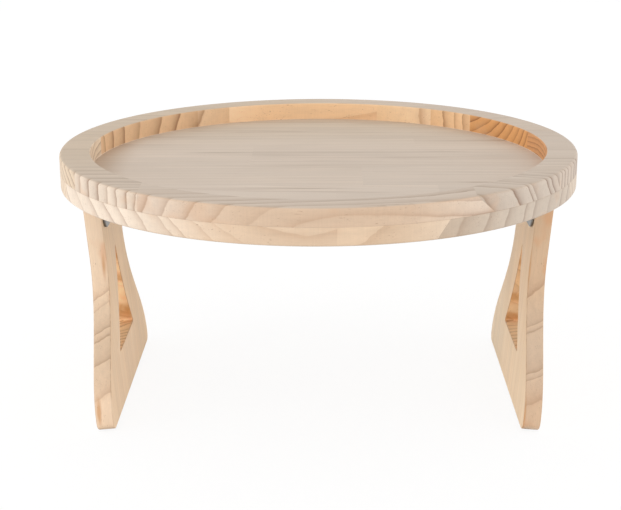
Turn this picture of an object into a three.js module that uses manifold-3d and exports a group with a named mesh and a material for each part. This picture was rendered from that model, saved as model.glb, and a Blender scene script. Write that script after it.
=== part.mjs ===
// A round pine tray table that straddles a sofa arm.
// A rim board glued on a base board makes the tray, and two pine legs fold inward on steel butt hinges.
// Millimetres, +Z up, origin on the floor under the middle of the tray, front towards -Y.
import * as THREE from 'three';
import { mergeVertices } from 'three/addons/utils/BufferGeometryUtils.js';
import Module from 'manifold-3d';

const wasm = await Module();
wasm.setup();

// Overall sizes
const trayDiameter = 300;
const tableHeight = 150;
const restLean = THREE.MathUtils.degToRad(4.8);

// Tray boards
const rimWidth = 17.5;
const rimThickness = 10;
const baseThickness = 10;
const pocketDepth = 1;
const rimTopRound = 2;
const rimInnerEase = 1;
const baseRound = 1.5;

// Legs
const legThickness = 10;
const neckWidth = 66;
const footWidth = 156;
const footCorner = 6;
const neckCorner = 2;
const flareHeight = 84;
const edgeEase = 0.8;
const lowerPullShare = 0.33;
const upperPullShare = 0.43;

// Triangular cut-out in each leg
const footBand = 30;
const cutoutWidth = 58;
const cutoutHeight = 59;
const cutoutCorner = 2.5;
const cutoutSideWidthShare = 0.29;
const cutoutSideHeightShare = 0.475;

// Butt hinges
const pinInset = 27.5;
const hingeLength = 22;
const hingeEdgeInset = 3;
const leafReach = 21;
const leafThickness = 1.2;
const leafCorner = 6;
const pinRadius = 1.15;
const pinHeadRadius = 1.7;
const pinHeadThickness = 0.5;
const knuckleCount = 3;

// Countersunk wood screws
const screwHeadRadius = 2.5;
const screwHeadRim = 0.2;
const screwShankRadius = 1.2;
const screwTip = 2;
const screwSpacing = 10.5;
const screwEndInset = 8;
const crossLength = 2.9;
const crossWidth = 0.55;
const crossDepth = 0.6;
const biteShare = 0.7;

// Clearances and the overrun of cutting tools
const seatGap = 0.3;
const pinGap = 0.15;
const knuckleGap = 0.3;
const screwGap = 0.25;
const overrun = 1;

// Facets of round shapes
const traySegments = 96;
const smallSegments = 12;
const arcSegments = 3;
const curveSegments = 8;

// Sizes worked out from the ones above
const trayRadius = trayDiameter / 2;
const recessRadius = trayRadius - rimWidth;
const trayBottom = tableHeight - rimThickness - baseThickness;
const knuckleRadius = pinRadius + pinGap + leafThickness;
const pinSpread = trayDiameter - 2 * pinInset;
const pinHeight = trayBottom - seatGap - knuckleRadius;
const legFace = knuckleRadius + seatGap;
const legBack = legFace + legThickness;
const legTop = knuckleRadius;
const footEdge = legBack - edgeEase;
const legFoot = -(pinHeight - footEdge * Math.sin(restLean)) / Math.cos(restLean);
const hingeOffset = neckWidth / 2 - hingeEdgeInset - hingeLength / 2;
const screwHeadDepth = leafThickness;
const screwBite = biteShare * Math.min(legThickness, baseThickness - pocketDepth);
const screwLength = leafThickness + seatGap + screwBite;
const screwReach = leafReach - screwEndInset;

const pineRim = { color: 0xd9bc9c, roughness: 0.62, metalness: 0 };
const pineBase = { color: 0xcdb9a3, roughness: 0.62, metalness: 0 };
const pineLeg = { color: 0xe3c09a, roughness: 0.62, metalness: 0 };
const steel = { color: 0xb9bcc0, roughness: 0.35, metalness: 1 };

// Turns a closed geometry into a solid that can be cut and joined
function toSolid(geometry) {
  const bare = geometry.clone();
  bare.deleteAttribute('normal');
  bare.deleteAttribute('uv');
  const merged = mergeVertices(bare, pinGap / 1000);
  return new wasm.Manifold(new wasm.Mesh({
    numProp: 3,
    vertProperties: new Float32Array(merged.attributes.position.array),
    triVerts: new Uint32Array(merged.index.array),
  }));
}

function toGeometry(solid) {
  const mesh = solid.getMesh();
  const geometry = new THREE.BufferGeometry();
  geometry.setAttribute('position', new THREE.BufferAttribute(new Float32Array(mesh.vertProperties), 3));
  geometry.setIndex(new THREE.BufferAttribute(new Uint32Array(mesh.triVerts), 1));
  geometry.computeVertexNormals();
  return geometry;
}

function piece(name, geometry, look) {
  const mesh = new THREE.Mesh(geometry, new THREE.MeshStandardMaterial(look));
  mesh.name = name;
  return mesh;
}

// A profile of radius and height turned about the Z axis
function turned(points, segments) {
  return new THREE.LatheGeometry(points, segments).rotateX(Math.PI / 2);
}

// A rod along Y, from one y to another, centred on the pin axis
function rodAlongY(radius, fromY, toY) {
  return new THREE.CylinderGeometry(radius, radius, toY - fromY, smallSegments)
    .translate(0, (fromY + toY) / 2, 0);
}

// Rim board: a ring whose top outer edge is rounded over
function rimGeometry() {
  const top = rimThickness;
  const profile = new THREE.Path();
  profile.moveTo(recessRadius, 0);
  profile.lineTo(trayRadius, 0);
  profile.lineTo(trayRadius, top - rimTopRound);
  profile.absarc(trayRadius - rimTopRound, top - rimTopRound, rimTopRound, 0, Math.PI / 2);
  profile.lineTo(recessRadius + rimInnerEase, top);
  profile.absarc(recessRadius + rimInnerEase, top - rimInnerEase, rimInnerEase, Math.PI / 2, Math.PI);
  profile.lineTo(recessRadius, 0);
  return turned(profile.getPoints(arcSegments), traySegments);
}

// Base board: a disc with a shallow pocket routed level with the rim's inner wall
function baseGeometry() {
  const profile = new THREE.Path();
  profile.moveTo(0, 0);
  profile.lineTo(trayRadius - baseRound, 0);
  profile.absarc(trayRadius - baseRound, baseRound, baseRound, -Math.PI / 2, 0);
  profile.lineTo(trayRadius, baseThickness);
  profile.lineTo(recessRadius, baseThickness);
  profile.lineTo(recessRadius, baseThickness - pocketDepth);
  profile.lineTo(0, baseThickness - pocketDepth);
  return turned(profile.getPoints(arcSegments), traySegments);
}

// Leg outline in its own plane: a neck that flares in an S-curve to a wide level foot
function legOutline() {
  const neck = neckWidth / 2;
  const foot = footWidth / 2;
  const flareBottom = legFoot + footCorner;
  const flareTop = flareBottom + flareHeight;
  const lowerPull = flareHeight * lowerPullShare;
  const upperPull = flareHeight * upperPullShare;
  const outline = new THREE.Shape();
  outline.moveTo(-foot + footCorner, legFoot);
  outline.lineTo(foot - footCorner, legFoot);
  outline.absarc(foot - footCorner, flareBottom, footCorner, -Math.PI / 2, 0);
  outline.bezierCurveTo(foot, flareBottom + lowerPull, neck, flareTop - upperPull, neck, flareTop);
  outline.lineTo(neck, legTop - neckCorner);
  outline.absarc(neck - neckCorner, legTop - neckCorner, neckCorner, 0, Math.PI / 2);
  outline.lineTo(-neck + neckCorner, legTop);
  outline.absarc(-neck + neckCorner, legTop - neckCorner, neckCorner, Math.PI / 2, Math.PI);
  outline.lineTo(-neck, flareTop);
  outline.bezierCurveTo(-neck, flareTop - upperPull, -foot, flareBottom + lowerPull, -foot, flareBottom);
  outline.absarc(-foot + footCorner, flareBottom, footCorner, Math.PI, Math.PI * 3 / 2);
  outline.holes.push(cutoutOutline());
  return outline;
}

// Triangle with its point up, softened corners and sides that bow with the leg's flare
function cutoutOutline() {
  const half = cutoutWidth / 2;
  const low = legFoot + footBand;
  const high = low + cutoutHeight;
  const sideX = half * cutoutSideWidthShare;
  const sideZ = low + cutoutHeight * cutoutSideHeightShare;
  const corner = new THREE.Vector2(half, low);
  const point = new THREE.Vector2(0, high);
  const bow = new THREE.Vector2(sideX, sideZ);
  const sideStart = corner.clone().add(bow.clone().sub(corner).setLength(cutoutCorner));
  const sideEnd = point.clone().add(bow.clone().sub(point).setLength(cutoutCorner));
  const hole = new THREE.Path();
  hole.moveTo(-half + cutoutCorner, low);
  hole.lineTo(half - cutoutCorner, low);
  hole.quadraticCurveTo(corner.x, corner.y, sideStart.x, sideStart.y);
  hole.quadraticCurveTo(bow.x, bow.y, sideEnd.x, sideEnd.y);
  hole.quadraticCurveTo(point.x, point.y, -sideEnd.x, sideEnd.y);
  hole.quadraticCurveTo(-bow.x, bow.y, -sideStart.x, sideStart.y);
  hole.quadraticCurveTo(-corner.x, corner.y, -half + cutoutCorner, low);
  return hole;
}

// Leg plate, standing in the YZ plane with its inner face towards the pin
function legGeometry() {
  return new THREE.ExtrudeGeometry(legOutline(), {
    depth: legThickness - 2 * edgeEase,
    bevelEnabled: true,
    bevelThickness: edgeEase,
    bevelSize: edgeEase,
    bevelOffset: -edgeEase,
    bevelSegments: 1,
    curveSegments,
  }).translate(0, 0, edgeEase)
    .rotateX(Math.PI / 2)
    .rotateZ(Math.PI / 2)
    .translate(legFace, 0, 0);
}

// Hinge leaf in the XY plane: it reaches along +X from the pin, its seated face up at knuckle height.
// ownsEnds is true for the leaf with the outer knuckles and false for the one with the middle knuckle.
function leafGeometry(ownsEnds) {
  const half = hingeLength / 2;
  const plate = new THREE.Shape();
  plate.moveTo(0, -half);
  plate.lineTo(leafReach - leafCorner, -half);
  plate.absarc(leafReach - leafCorner, -half + leafCorner, leafCorner, -Math.PI / 2, 0);
  plate.lineTo(leafReach, half - leafCorner);
  plate.absarc(leafReach - leafCorner, half - leafCorner, leafCorner, 0, Math.PI / 2);
  plate.lineTo(0, half);
  const plateGeometry = new THREE.ExtrudeGeometry(plate, {
    depth: leafThickness, bevelEnabled: false, curveSegments: arcSegments,
  }).translate(0, 0, knuckleRadius - leafThickness);

  let leaf = toSolid(plateGeometry);
  const knuckle = hingeLength / knuckleCount;
  for (let i = 0; i < knuckleCount; i++) {
    const from = -half + i * knuckle;
    const isEnd = i === 0 || i === knuckleCount - 1;
    if (isEnd === ownsEnds) {
      leaf = leaf.add(toSolid(rodAlongY(knuckleRadius, from, from + knuckle)));
    }
  }
  for (let i = 0; i < knuckleCount; i++) {
    const isEnd = i === 0 || i === knuckleCount - 1;
    if (isEnd !== ownsEnds) {
      const from = i === 0 ? -half - overrun : -half + i * knuckle - knuckleGap;
      const to = i === knuckleCount - 1 ? half + overrun : -half + (i + 1) * knuckle + knuckleGap;
      leaf = leaf.subtract(toSolid(rodAlongY(knuckleRadius + knuckleGap, from, to)));
    }
  }
  leaf = leaf.subtract(toSolid(rodAlongY(pinRadius + pinGap, -half - overrun, half + overrun)));
  for (const y of screwRows()) {
    leaf = leaf.subtract(toSolid(screwGeometry(screwGap, false).translate(screwReach, y, 0)));
  }
  return toGeometry(leaf);
}

// Pin with a low peened head on each end
function pinGeometry() {
  const half = hingeLength / 2 + pinGap;
  const end = half + pinHeadThickness;
  const points = [
    [0, -end], [pinHeadRadius, -end], [pinHeadRadius, -half], [pinRadius, -half],
    [pinRadius, half], [pinHeadRadius, half], [pinHeadRadius, end], [0, end],
  ].map(([x, y]) => new THREE.Vector2(x, y));
  return new THREE.LatheGeometry(points, smallSegments);
}

function screwRows() {
  return [-screwSpacing / 2, screwSpacing / 2];
}

// Countersunk wood screw that points up, its head flush with the open side of a leaf.
// grow widens it into the tool that cuts its hole, and withCross adds the driver's recess.
function screwGeometry(grow, withCross) {
  const head = knuckleRadius - leafThickness - (grow > 0 ? overrun : 0);
  const rim = knuckleRadius - leafThickness + screwHeadRim;
  const neck = knuckleRadius - leafThickness + screwHeadDepth;
  const end = knuckleRadius - leafThickness + screwLength + grow;
  const points = [
    [0, head], [screwHeadRadius + grow, head], [screwHeadRadius + grow, rim],
    [screwShankRadius + grow, neck], [screwShankRadius + grow, end - screwTip], [0, end],
  ].map(([x, y]) => new THREE.Vector2(x, y));
  const body = turned(points, smallSegments);
  if (!withCross) {
    return body;
  }
  const slot = (x, y) => toSolid(new THREE.BoxGeometry(x, y, 2 * crossDepth).translate(0, 0, head));
  return toGeometry(toSolid(body)
    .subtract(slot(crossLength, crossWidth))
    .subtract(slot(crossWidth, crossLength)));
}

// Pilot holes for the screws that hold the leaves of one leg
function cutPilots(solid, place) {
  let cut = solid;
  for (const hingeY of [-hingeOffset, hingeOffset]) {
    for (const screwY of screwRows()) {
      const tool = screwGeometry(screwGap, false).translate(screwReach, hingeY + screwY, 0);
      cut = cut.subtract(toSolid(tool.applyMatrix4(place)));
    }
  }
  return cut;
}

// The pin axis of a side: the left side is the right side turned half round
const sides = [
  { name: 'left', turn: Math.PI, frontY: hingeOffset },
  { name: 'right', turn: 0, frontY: -hingeOffset },
];

// A leaf is drawn reaching along +X. On the tray it reaches back to the middle, on the leg it hangs down.
const towardsMiddle = new THREE.Matrix4().makeRotationZ(Math.PI);
const downTheLeg = new THREE.Matrix4().makeRotationY(Math.PI / 2);

const table = new THREE.Group();
table.name = 'sofa_arm_tray_table';

let baseSolid = toSolid(baseGeometry());
for (const side of sides) {
  const place = new THREE.Matrix4().makeRotationZ(side.turn)
    .multiply(new THREE.Matrix4().makeTranslation(pinSpread / 2, 0, pinHeight - trayBottom))
    .multiply(towardsMiddle);
  baseSolid = cutPilots(baseSolid, place);
}

const rim = piece('tray_rim', rimGeometry(), pineRim);
rim.position.z = trayBottom + baseThickness;
const base = piece('tray_base', toGeometry(baseSolid), pineBase);
base.position.z = trayBottom;
table.add(rim, base);

for (const side of sides) {
  const sideGroup = new THREE.Group();
  sideGroup.rotation.z = side.turn;
  const pinAxis = new THREE.Group();
  pinAxis.position.set(pinSpread / 2, 0, pinHeight);
  sideGroup.add(pinAxis);

  const legGroup = new THREE.Group();
  legGroup.rotation.y = restLean;
  pinAxis.add(legGroup);

  const legSolid = cutPilots(toSolid(legGeometry()), downTheLeg);
  legGroup.add(piece(`${side.name}_leg`, toGeometry(legSolid), pineLeg));

  for (const [end, hingeY] of [['front', side.frontY], ['back', -side.frontY]]) {
    const hinge = `${side.name}_${end}_hinge`;
    const onTray = new THREE.Group();
    onTray.position.y = hingeY;
    onTray.rotation.z = Math.PI;
    const onLeg = new THREE.Group();
    onLeg.position.y = hingeY;
    onLeg.rotation.y = Math.PI / 2;
    pinAxis.add(onTray);
    legGroup.add(onLeg);

    onTray.add(piece(`${hinge}_tray_leaf`, leafGeometry(true), steel));
    onTray.add(piece(`${hinge}_pin`, pinGeometry(), steel));
    onLeg.add(piece(`${hinge}_leg_leaf`, leafGeometry(false), steel));
    screwRows().forEach((screwY, i) => {
      const traySide = piece(`${hinge}_tray_screw_${i + 1}`, screwGeometry(0, true), steel);
      traySide.position.set(screwReach, screwY, 0);
      onTray.add(traySide);
      const legSide = piece(`${hinge}_leg_screw_${i + 1}`, screwGeometry(0, true), steel);
      legSide.position.set(screwReach, screwY, 0);
      onLeg.add(legSide);
    });
  }
  table.add(sideGroup);
}

export default table;
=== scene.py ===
import math

import bmesh
import bpy
from mathutils import Matrix, Vector
from mathutils.geometry import tessellate_polygon


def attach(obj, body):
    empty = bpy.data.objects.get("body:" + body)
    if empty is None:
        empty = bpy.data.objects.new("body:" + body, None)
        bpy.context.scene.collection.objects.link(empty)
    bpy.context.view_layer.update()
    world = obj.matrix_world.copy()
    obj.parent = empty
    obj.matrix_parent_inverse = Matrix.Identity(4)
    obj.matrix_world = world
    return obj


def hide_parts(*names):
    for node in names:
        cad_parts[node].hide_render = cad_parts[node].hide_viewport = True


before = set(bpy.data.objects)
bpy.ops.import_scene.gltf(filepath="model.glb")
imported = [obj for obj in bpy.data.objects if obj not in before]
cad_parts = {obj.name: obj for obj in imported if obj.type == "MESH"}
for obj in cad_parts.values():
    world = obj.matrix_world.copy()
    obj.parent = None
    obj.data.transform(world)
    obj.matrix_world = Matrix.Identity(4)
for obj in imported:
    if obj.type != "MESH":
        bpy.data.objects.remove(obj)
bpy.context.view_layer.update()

MM = 0.001
X, Y, Z = 0, 1, 2

# Sizes of the boards, the same as the CAD part's
TRAY_RADIUS = 150
RECESS_RADIUS = 132.5
TRAY_BOTTOM = 130
JOINT_HEIGHT = 140
TRAY_TOP = 150
POCKET_DEPTH = 1
RIM_TOP_ROUND = 2
RIM_INNER_EASE = 1
BASE_ROUND = 1.5

# Small forms of the boards that only this scene has
JOINT_EASE = 0.12
POCKET_FILLET = 0.4
FLAT_RING_RADIUS = 60
BOARD_SEGMENTS = 360

# Sizes of the legs, the same as the CAD part's
PIN_X = 122.5
PIN_Z = 127.2
LEAN = math.radians(4.8)
LEG_THICKNESS = 10
LEG_FACE = 2.8
LEG_TOP = 2.5
NECK_HALF = 33
FOOT_HALF = 78
FOOT_CORNER = 6
NECK_CORNER = 2
FLARE_HEIGHT = 84
LOWER_PULL = 0.33
UPPER_PULL = 0.43
EDGE_EASE = 0.8
FOOT_EDGE = LEG_FACE + LEG_THICKNESS - EDGE_EASE
LEG_FOOT = -(PIN_Z - FOOT_EDGE * math.sin(LEAN)) / math.cos(LEAN)
FOOT_BAND = 30
CUTOUT_HALF = 29
CUTOUT_HEIGHT = 59
CUTOUT_CORNER = 2.5
CUTOUT_SIDE_WIDTH_SHARE = 0.29
CUTOUT_SIDE_HEIGHT_SHARE = 0.475

# Sizes of the hinges and screws, the same as the CAD part's
HINGE_LENGTH = 22
HINGE_OFFSET = 19
LEAF_REACH = 21
LEAF_THICKNESS = 1.2
LEAF_CORNER = 6
KNUCKLE_COUNT = 3
KNUCKLE_RADIUS = 2.5
KNUCKLE_GAP = 0.3
PIN_RADIUS = 1.15
PIN_GAP = 0.15
PIN_HEAD_RADIUS = 1.7
PIN_HEAD_THICKNESS = 0.5
SCREW_REACH = 13
SCREW_ROWS = (-5.25, 5.25)
SCREW_GAP = 0.25
SCREW_HEAD_RADIUS = 2.5
SCREW_HEAD_RIM = 0.2
SCREW_SHANK_RADIUS = 1.2
SCREW_LENGTH = 7.8
SCREW_TIP = 2
CROSS_LENGTH = 2.9
CROSS_WIDTH = 0.55
CROSS_DEPTH = 0.6

# Small forms of the hinges and screws that only this scene has
LEAF_EASE = 0.15
CURL_END = 380
CURL_OVERLAP = 1.5
CURL_ROOT = 0.02
DOME_ANGLES = (0, 20, 40, 60, 78)
HEAD_EASE_WIDTH = 0.1
HEAD_EASE_DEPTH = 0.08
THREAD_START = 0.4
THREAD_PITCH = 0.9
THREAD_ROOT_SHARE = 0.72
THREAD_FLANK_SHARE = 0.4
THREAD_CREST_SHARE = 0.5
CROSS_FILLET = 0.14
CROSS_FLOOR_SHARE = 0.6
SMALL_SEGMENTS = 40

# Noises in the wood: the sizes of their features along the grain and twice across it, detail and roughness.
# The cutter's marks go by the object's own directions.
WAVE = ((95, 34, 34), 1.5, 0.5)
SWAY = ((70, 26, 26), 1.5, 0.5)
RIPPLE = ((16, 5, 5), 2, 0.5)
FIBRE = ((26, 0.42, 0.42), 3, 0.6)
STREAK = ((75, 2.6, 2.6), 3, 0.55)
BLOTCH = ((60, 22, 22), 2, 0.5)
CANAL = ((4.5, 0.5, 0.5), 1, 0.5)
CANAL_PATCH = ((17, 7, 7), 1, 0.5)
LINE = ((430, 5.2, 5.2), 2, 0.5)
LINE_PATCH = ((150, 11, 11), 1, 0.5)
STAIN = ((24, 15, 15), 2, 0.5)
CUTTER = ((0.7, 0.7, 9), 2, 0.5)

# How far noises carry a ring to and fro, and what keeps the noises apart
WAVE_REACH = 3.4
SWAY_REACH = 3
RIPPLE_REACH = 1.3
SWAY_SHIFT = 7.3
SWAY_SEED = 5.1
RIPPLE_SEED = 2.7
OFFSET_LUCK = 3.7
RING_LUCK = 1.7

# A ring: where its dark line begins, and (share of its width, darkness) of the line and the slow darkening
EARLY_SHARE = 0.72
LATE_STOPS = [(0, 0.45), (0.035, 0.04), (0.40, 0.03), (EARLY_SHARE, 0.16), (0.88, 0.55), (0.96, 1),
              (1, 0.85)]
SOFT_STOPS = [(0, 0), (0.5, 0.35), (1, 1)]
SOFT_STRENGTH = 0.34
LATE_LUCK = (0.35, 1)

# Knots, in shares of a knot's size
KNOT_STRETCH = 1.6
KNOT_FIELD = 2.8
KNOT_PUSH = 1.6
KNOT_OUTER = 1.5
KNOT_INNER = 0.3
KNOT_RAGGED = 3
KNOT_STRENGTH = (0.35, 0.95)

# How much fibres, streaks, blotches and chance by ring lighten or darken the wood, and the cutter off a face
SHADES = (0.055, 0.085, 0.07, 0.025)
CUTTER_SHADE = 0.05

# Smooth steps between two values of a noise, two places or two parts of the normal
CANAL_STEP = (0.67, 0.75)
CANAL_PATCH_STEP = (0.42, 0.58)
STAIN_STEP = (0.55, 0.72)
ARRIS_STEP = (0.30, 0.55)
ARRIS_END_STEP = (0.96, 0.80)
WORN_STEP = (0.25, 0.60)
PITCH_STEP = (1.1, 0.2)
LEFT_TO_RIGHT = (-90, 90)
MIDDLE_TO_FRONT = (-50, -80)
EVERYWHERE = (-1000, -999)

# Thin lines on a planed face: the noise's value on them, their half width and the step of their patches
DARK_LINE = (0.5, 0.026, (0.40, 0.66))
PALE_LINE = (0.42, 0.018, (0.58, 0.38))
PALE_LINE_STRENGTH = 0.45

CANAL_STRENGTH = 0.5
CANAL_FACE_LOSS = 0.6
PITCH_STRENGTH = 0.6
PITCH_RAGGED = 0.5
CUTOUT_MARGIN = 1
WALL_TURN = -60

# The wood's sheen, and its relief from late wood, fibres, canals and the cutter
WOOD_ROUGHNESS = (0.52, 0.66)
LATE_GLOSS = -0.08
WOOD_SPECULAR = 0.35
RELIEFS = (0.6, 0.5, -0.9, 0.3)
WOOD_BUMP = (0.00012, 0.55)

# The steel's noises, in the same form as the wood's, and its sheen and relief
PLATING = ((3.5, 3.5, 3.5), 4, 0.6)
BRUSHING = ((0.12, 5, 0.12), 2, 0.5)
RUBBING = ((0.9, 0.9, 0.9), 3, 0.6)
RUBBED_STEP = (0.60, 0.72)
RUBBED_STRENGTH = 0.25
STEEL_ROUGHNESS = (0.24, 0.40)
BRUSHED_ROUGHNESS = 0.08
RUBBED_ROUGHNESS = 0.12
RUBBED_RELIEF = -0.6
STEEL_BUMP = (0.00002, 0.4)

# Inputs and output of a Mix node, by its data type
MIX_SOCKETS = {"FLOAT": (2, 3, 0), "VECTOR": (4, 5, 1), "RGBA": (6, 7, 2)}


def srgb(red, green, blue):
    """A colour written as 8-bit sRGB, in the linear values that the shader takes."""
    def one(value):
        value /= 255
        return value / 12.92 if value <= 0.04045 else ((value + 0.055) / 1.055) ** 2.4
    return (one(red), one(green), one(blue), 1)


class Graph:
    """Builds nodes in a tree, each call giving back the output socket."""

    def __init__(self, tree):
        self.tree = tree

    def put(self, socket, value):
        if isinstance(value, bpy.types.NodeSocket):
            self.tree.links.new(value, socket)
        else:
            socket.default_value = value

    def math(self, operation, *values):
        node = self.tree.nodes.new("ShaderNodeMath")
        node.operation = operation
        for socket, value in zip(node.inputs, values):
            self.put(socket, value)
        return node.outputs[0]

    def add(self, a, b):
        return self.math("ADD", a, b)

    def sub(self, a, b):
        return self.math("SUBTRACT", a, b)

    def mul(self, first, *factors):
        for factor in factors:
            first = self.math("MULTIPLY", first, factor)
        return first

    def below(self, a, b):
        return self.math("LESS_THAN", a, b)

    def absolute(self, a):
        return self.math("ABSOLUTE", a)

    def hypot(self, a, b):
        return self.math("SQRT", self.add(self.mul(a, a), self.mul(b, b)))

    def ramp01(self, value, low, high):
        """Smooth step from 0 at low to 1 at high."""
        node = self.tree.nodes.new("ShaderNodeMapRange")
        node.interpolation_type = "SMOOTHSTEP"
        self.put(node.inputs["Value"], value)
        node.inputs["From Min"].default_value = low
        node.inputs["From Max"].default_value = high
        return node.outputs["Result"]

    def span(self, value, low, high):
        """Value from 0..1 spread to low..high."""
        return self.math("MULTIPLY_ADD", value, high - low, low)

    def swing(self, value, reach):
        """Value from 0..1 turned into a shift to either side."""
        return self.mul(self.sub(value, 0.5), reach)

    def mix_as(self, data_type, factor, a, b, mode="MIX"):
        node = self.tree.nodes.new("ShaderNodeMix")
        node.data_type = data_type
        node.blend_type = mode
        first, second, result = MIX_SOCKETS[data_type]
        self.put(node.inputs[0], factor)
        self.put(node.inputs[first], a)
        self.put(node.inputs[second], b)
        return node.outputs[result]

    def mix(self, factor, a, b):
        return self.mix_as("FLOAT", factor, a, b)

    def blend(self, factor, a, b, mode="MIX"):
        return self.mix_as("RGBA", factor, a, b, mode)

    def vector(self, *values):
        node = self.tree.nodes.new("ShaderNodeCombineXYZ")
        for socket, value in zip(node.inputs, values):
            self.put(socket, value)
        return node.outputs[0]

    def parts(self, vector):
        node = self.tree.nodes.new("ShaderNodeSeparateXYZ")
        self.put(node.inputs[0], vector)
        return node.outputs[X], node.outputs[Y], node.outputs[Z]

    def noise(self, place, sizes, detail, roughness, shifts=(0, 0, 0)):
        """Noise with features of those sizes in the three directions of place, moved aside by shifts."""
        node = self.tree.nodes.new("ShaderNodeTexNoise")
        scaled = [self.math("MULTIPLY_ADD", value, 1 / size, shift)
                  for value, size, shift in zip(place, sizes, shifts)]
        self.put(node.inputs["Vector"], self.vector(*scaled))
        node.inputs["Scale"].default_value = 1
        node.inputs["Detail"].default_value = detail
        node.inputs["Roughness"].default_value = roughness
        return node.outputs["Fac"]

    def chance(self, value):
        """A random number from 0 to 1 for each value."""
        node = self.tree.nodes.new("ShaderNodeTexWhiteNoise")
        node.noise_dimensions = "1D"
        self.put(node.inputs["W"], value)
        return node.outputs["Value"]

    def curve(self, value, points):
        """Straight lines through (x, y) points, both from 0 to 1."""
        node = self.tree.nodes.new("ShaderNodeFloatCurve")
        line = node.mapping.curves[0]
        while len(line.points) < len(points):
            line.points.new(0.5, 0.5)
        for point, spot in zip(line.points, points):
            point.location = spot
            point.handle_type = "VECTOR"
        node.mapping.update()
        self.put(node.inputs["Value"], value)
        return node.outputs[0]

    def stops(self, value, stops):
        """A grey ramp through (place, grey) stops. Places are set first, because they order the stops."""
        node = self.tree.nodes.new("ShaderNodeValToRGB")
        elements = node.color_ramp.elements
        while len(elements) < len(stops):
            elements.new(0.5)
        for element, (place, _) in zip(elements, stops):
            element.position = place
        for element, (_, grey) in zip(elements, stops):
            element.color = (grey, grey, grey, 1)
        self.put(node.inputs[0], value)
        return node.outputs[0]

    def bump(self, height, distance, strength):
        node = self.tree.nodes.new("ShaderNodeBump")
        node.inputs["Strength"].default_value = strength
        node.inputs["Distance"].default_value = distance
        self.put(node.inputs["Height"], height)
        return node.outputs[0]

    def seen(self):
        """1 for what the camera sees, straight or in a gloss, and 0 for what lights the scene."""
        path = self.tree.nodes.new("ShaderNodeLightPath")
        return self.math("MAXIMUM", path.outputs["Is Camera Ray"], path.outputs["Is Glossy Ray"])


class Surface(Graph):
    """A material with one shader."""

    def __init__(self, name):
        self.material = bpy.data.materials.new(name)
        self.material.use_nodes = True
        super().__init__(self.material.node_tree)
        self.tree.nodes.clear()
        self.shader = self.tree.nodes.new("ShaderNodeBsdfPrincipled")
        output = self.tree.nodes.new("ShaderNodeOutputMaterial")
        self.tree.links.new(self.shader.outputs["BSDF"], output.inputs["Surface"])

    def set(self, name, value):
        self.put(self.shader.inputs[name], value)

    def place(self):
        """The object's coordinates in millimetres, and its normal."""
        node = self.tree.nodes.new("ShaderNodeTexCoord")
        scaled = self.tree.nodes.new("ShaderNodeVectorMath")
        scaled.operation = "SCALE"
        self.tree.links.new(node.outputs["Object"], scaled.inputs[0])
        scaled.inputs["Scale"].default_value = 1 / MM
        return self.parts(scaled.outputs[0]), self.parts(node.outputs["Normal"])


def steps_of(rings, late_width):
    """Curve points that turn a radius into a ring count, from the radii of the rings, and their two spans.

    A ring's dark line begins at EARLY_SHARE, and is no wider than late_width where the ring is wide.
    """
    widest = rings[-1] + (rings[-1] - rings[-2])
    count = len(rings) + 1
    points = [(0, 0)]
    for i, (inner, outer) in enumerate(zip([0] + rings, rings + [widest])):
        if outer - inner > late_width / (1 - EARLY_SHARE):
            points.append(((outer - late_width) / widest, (i + EARLY_SHARE) / count))
        points.append((outer / widest, (i + 1) / count))
    return points, widest, count


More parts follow.
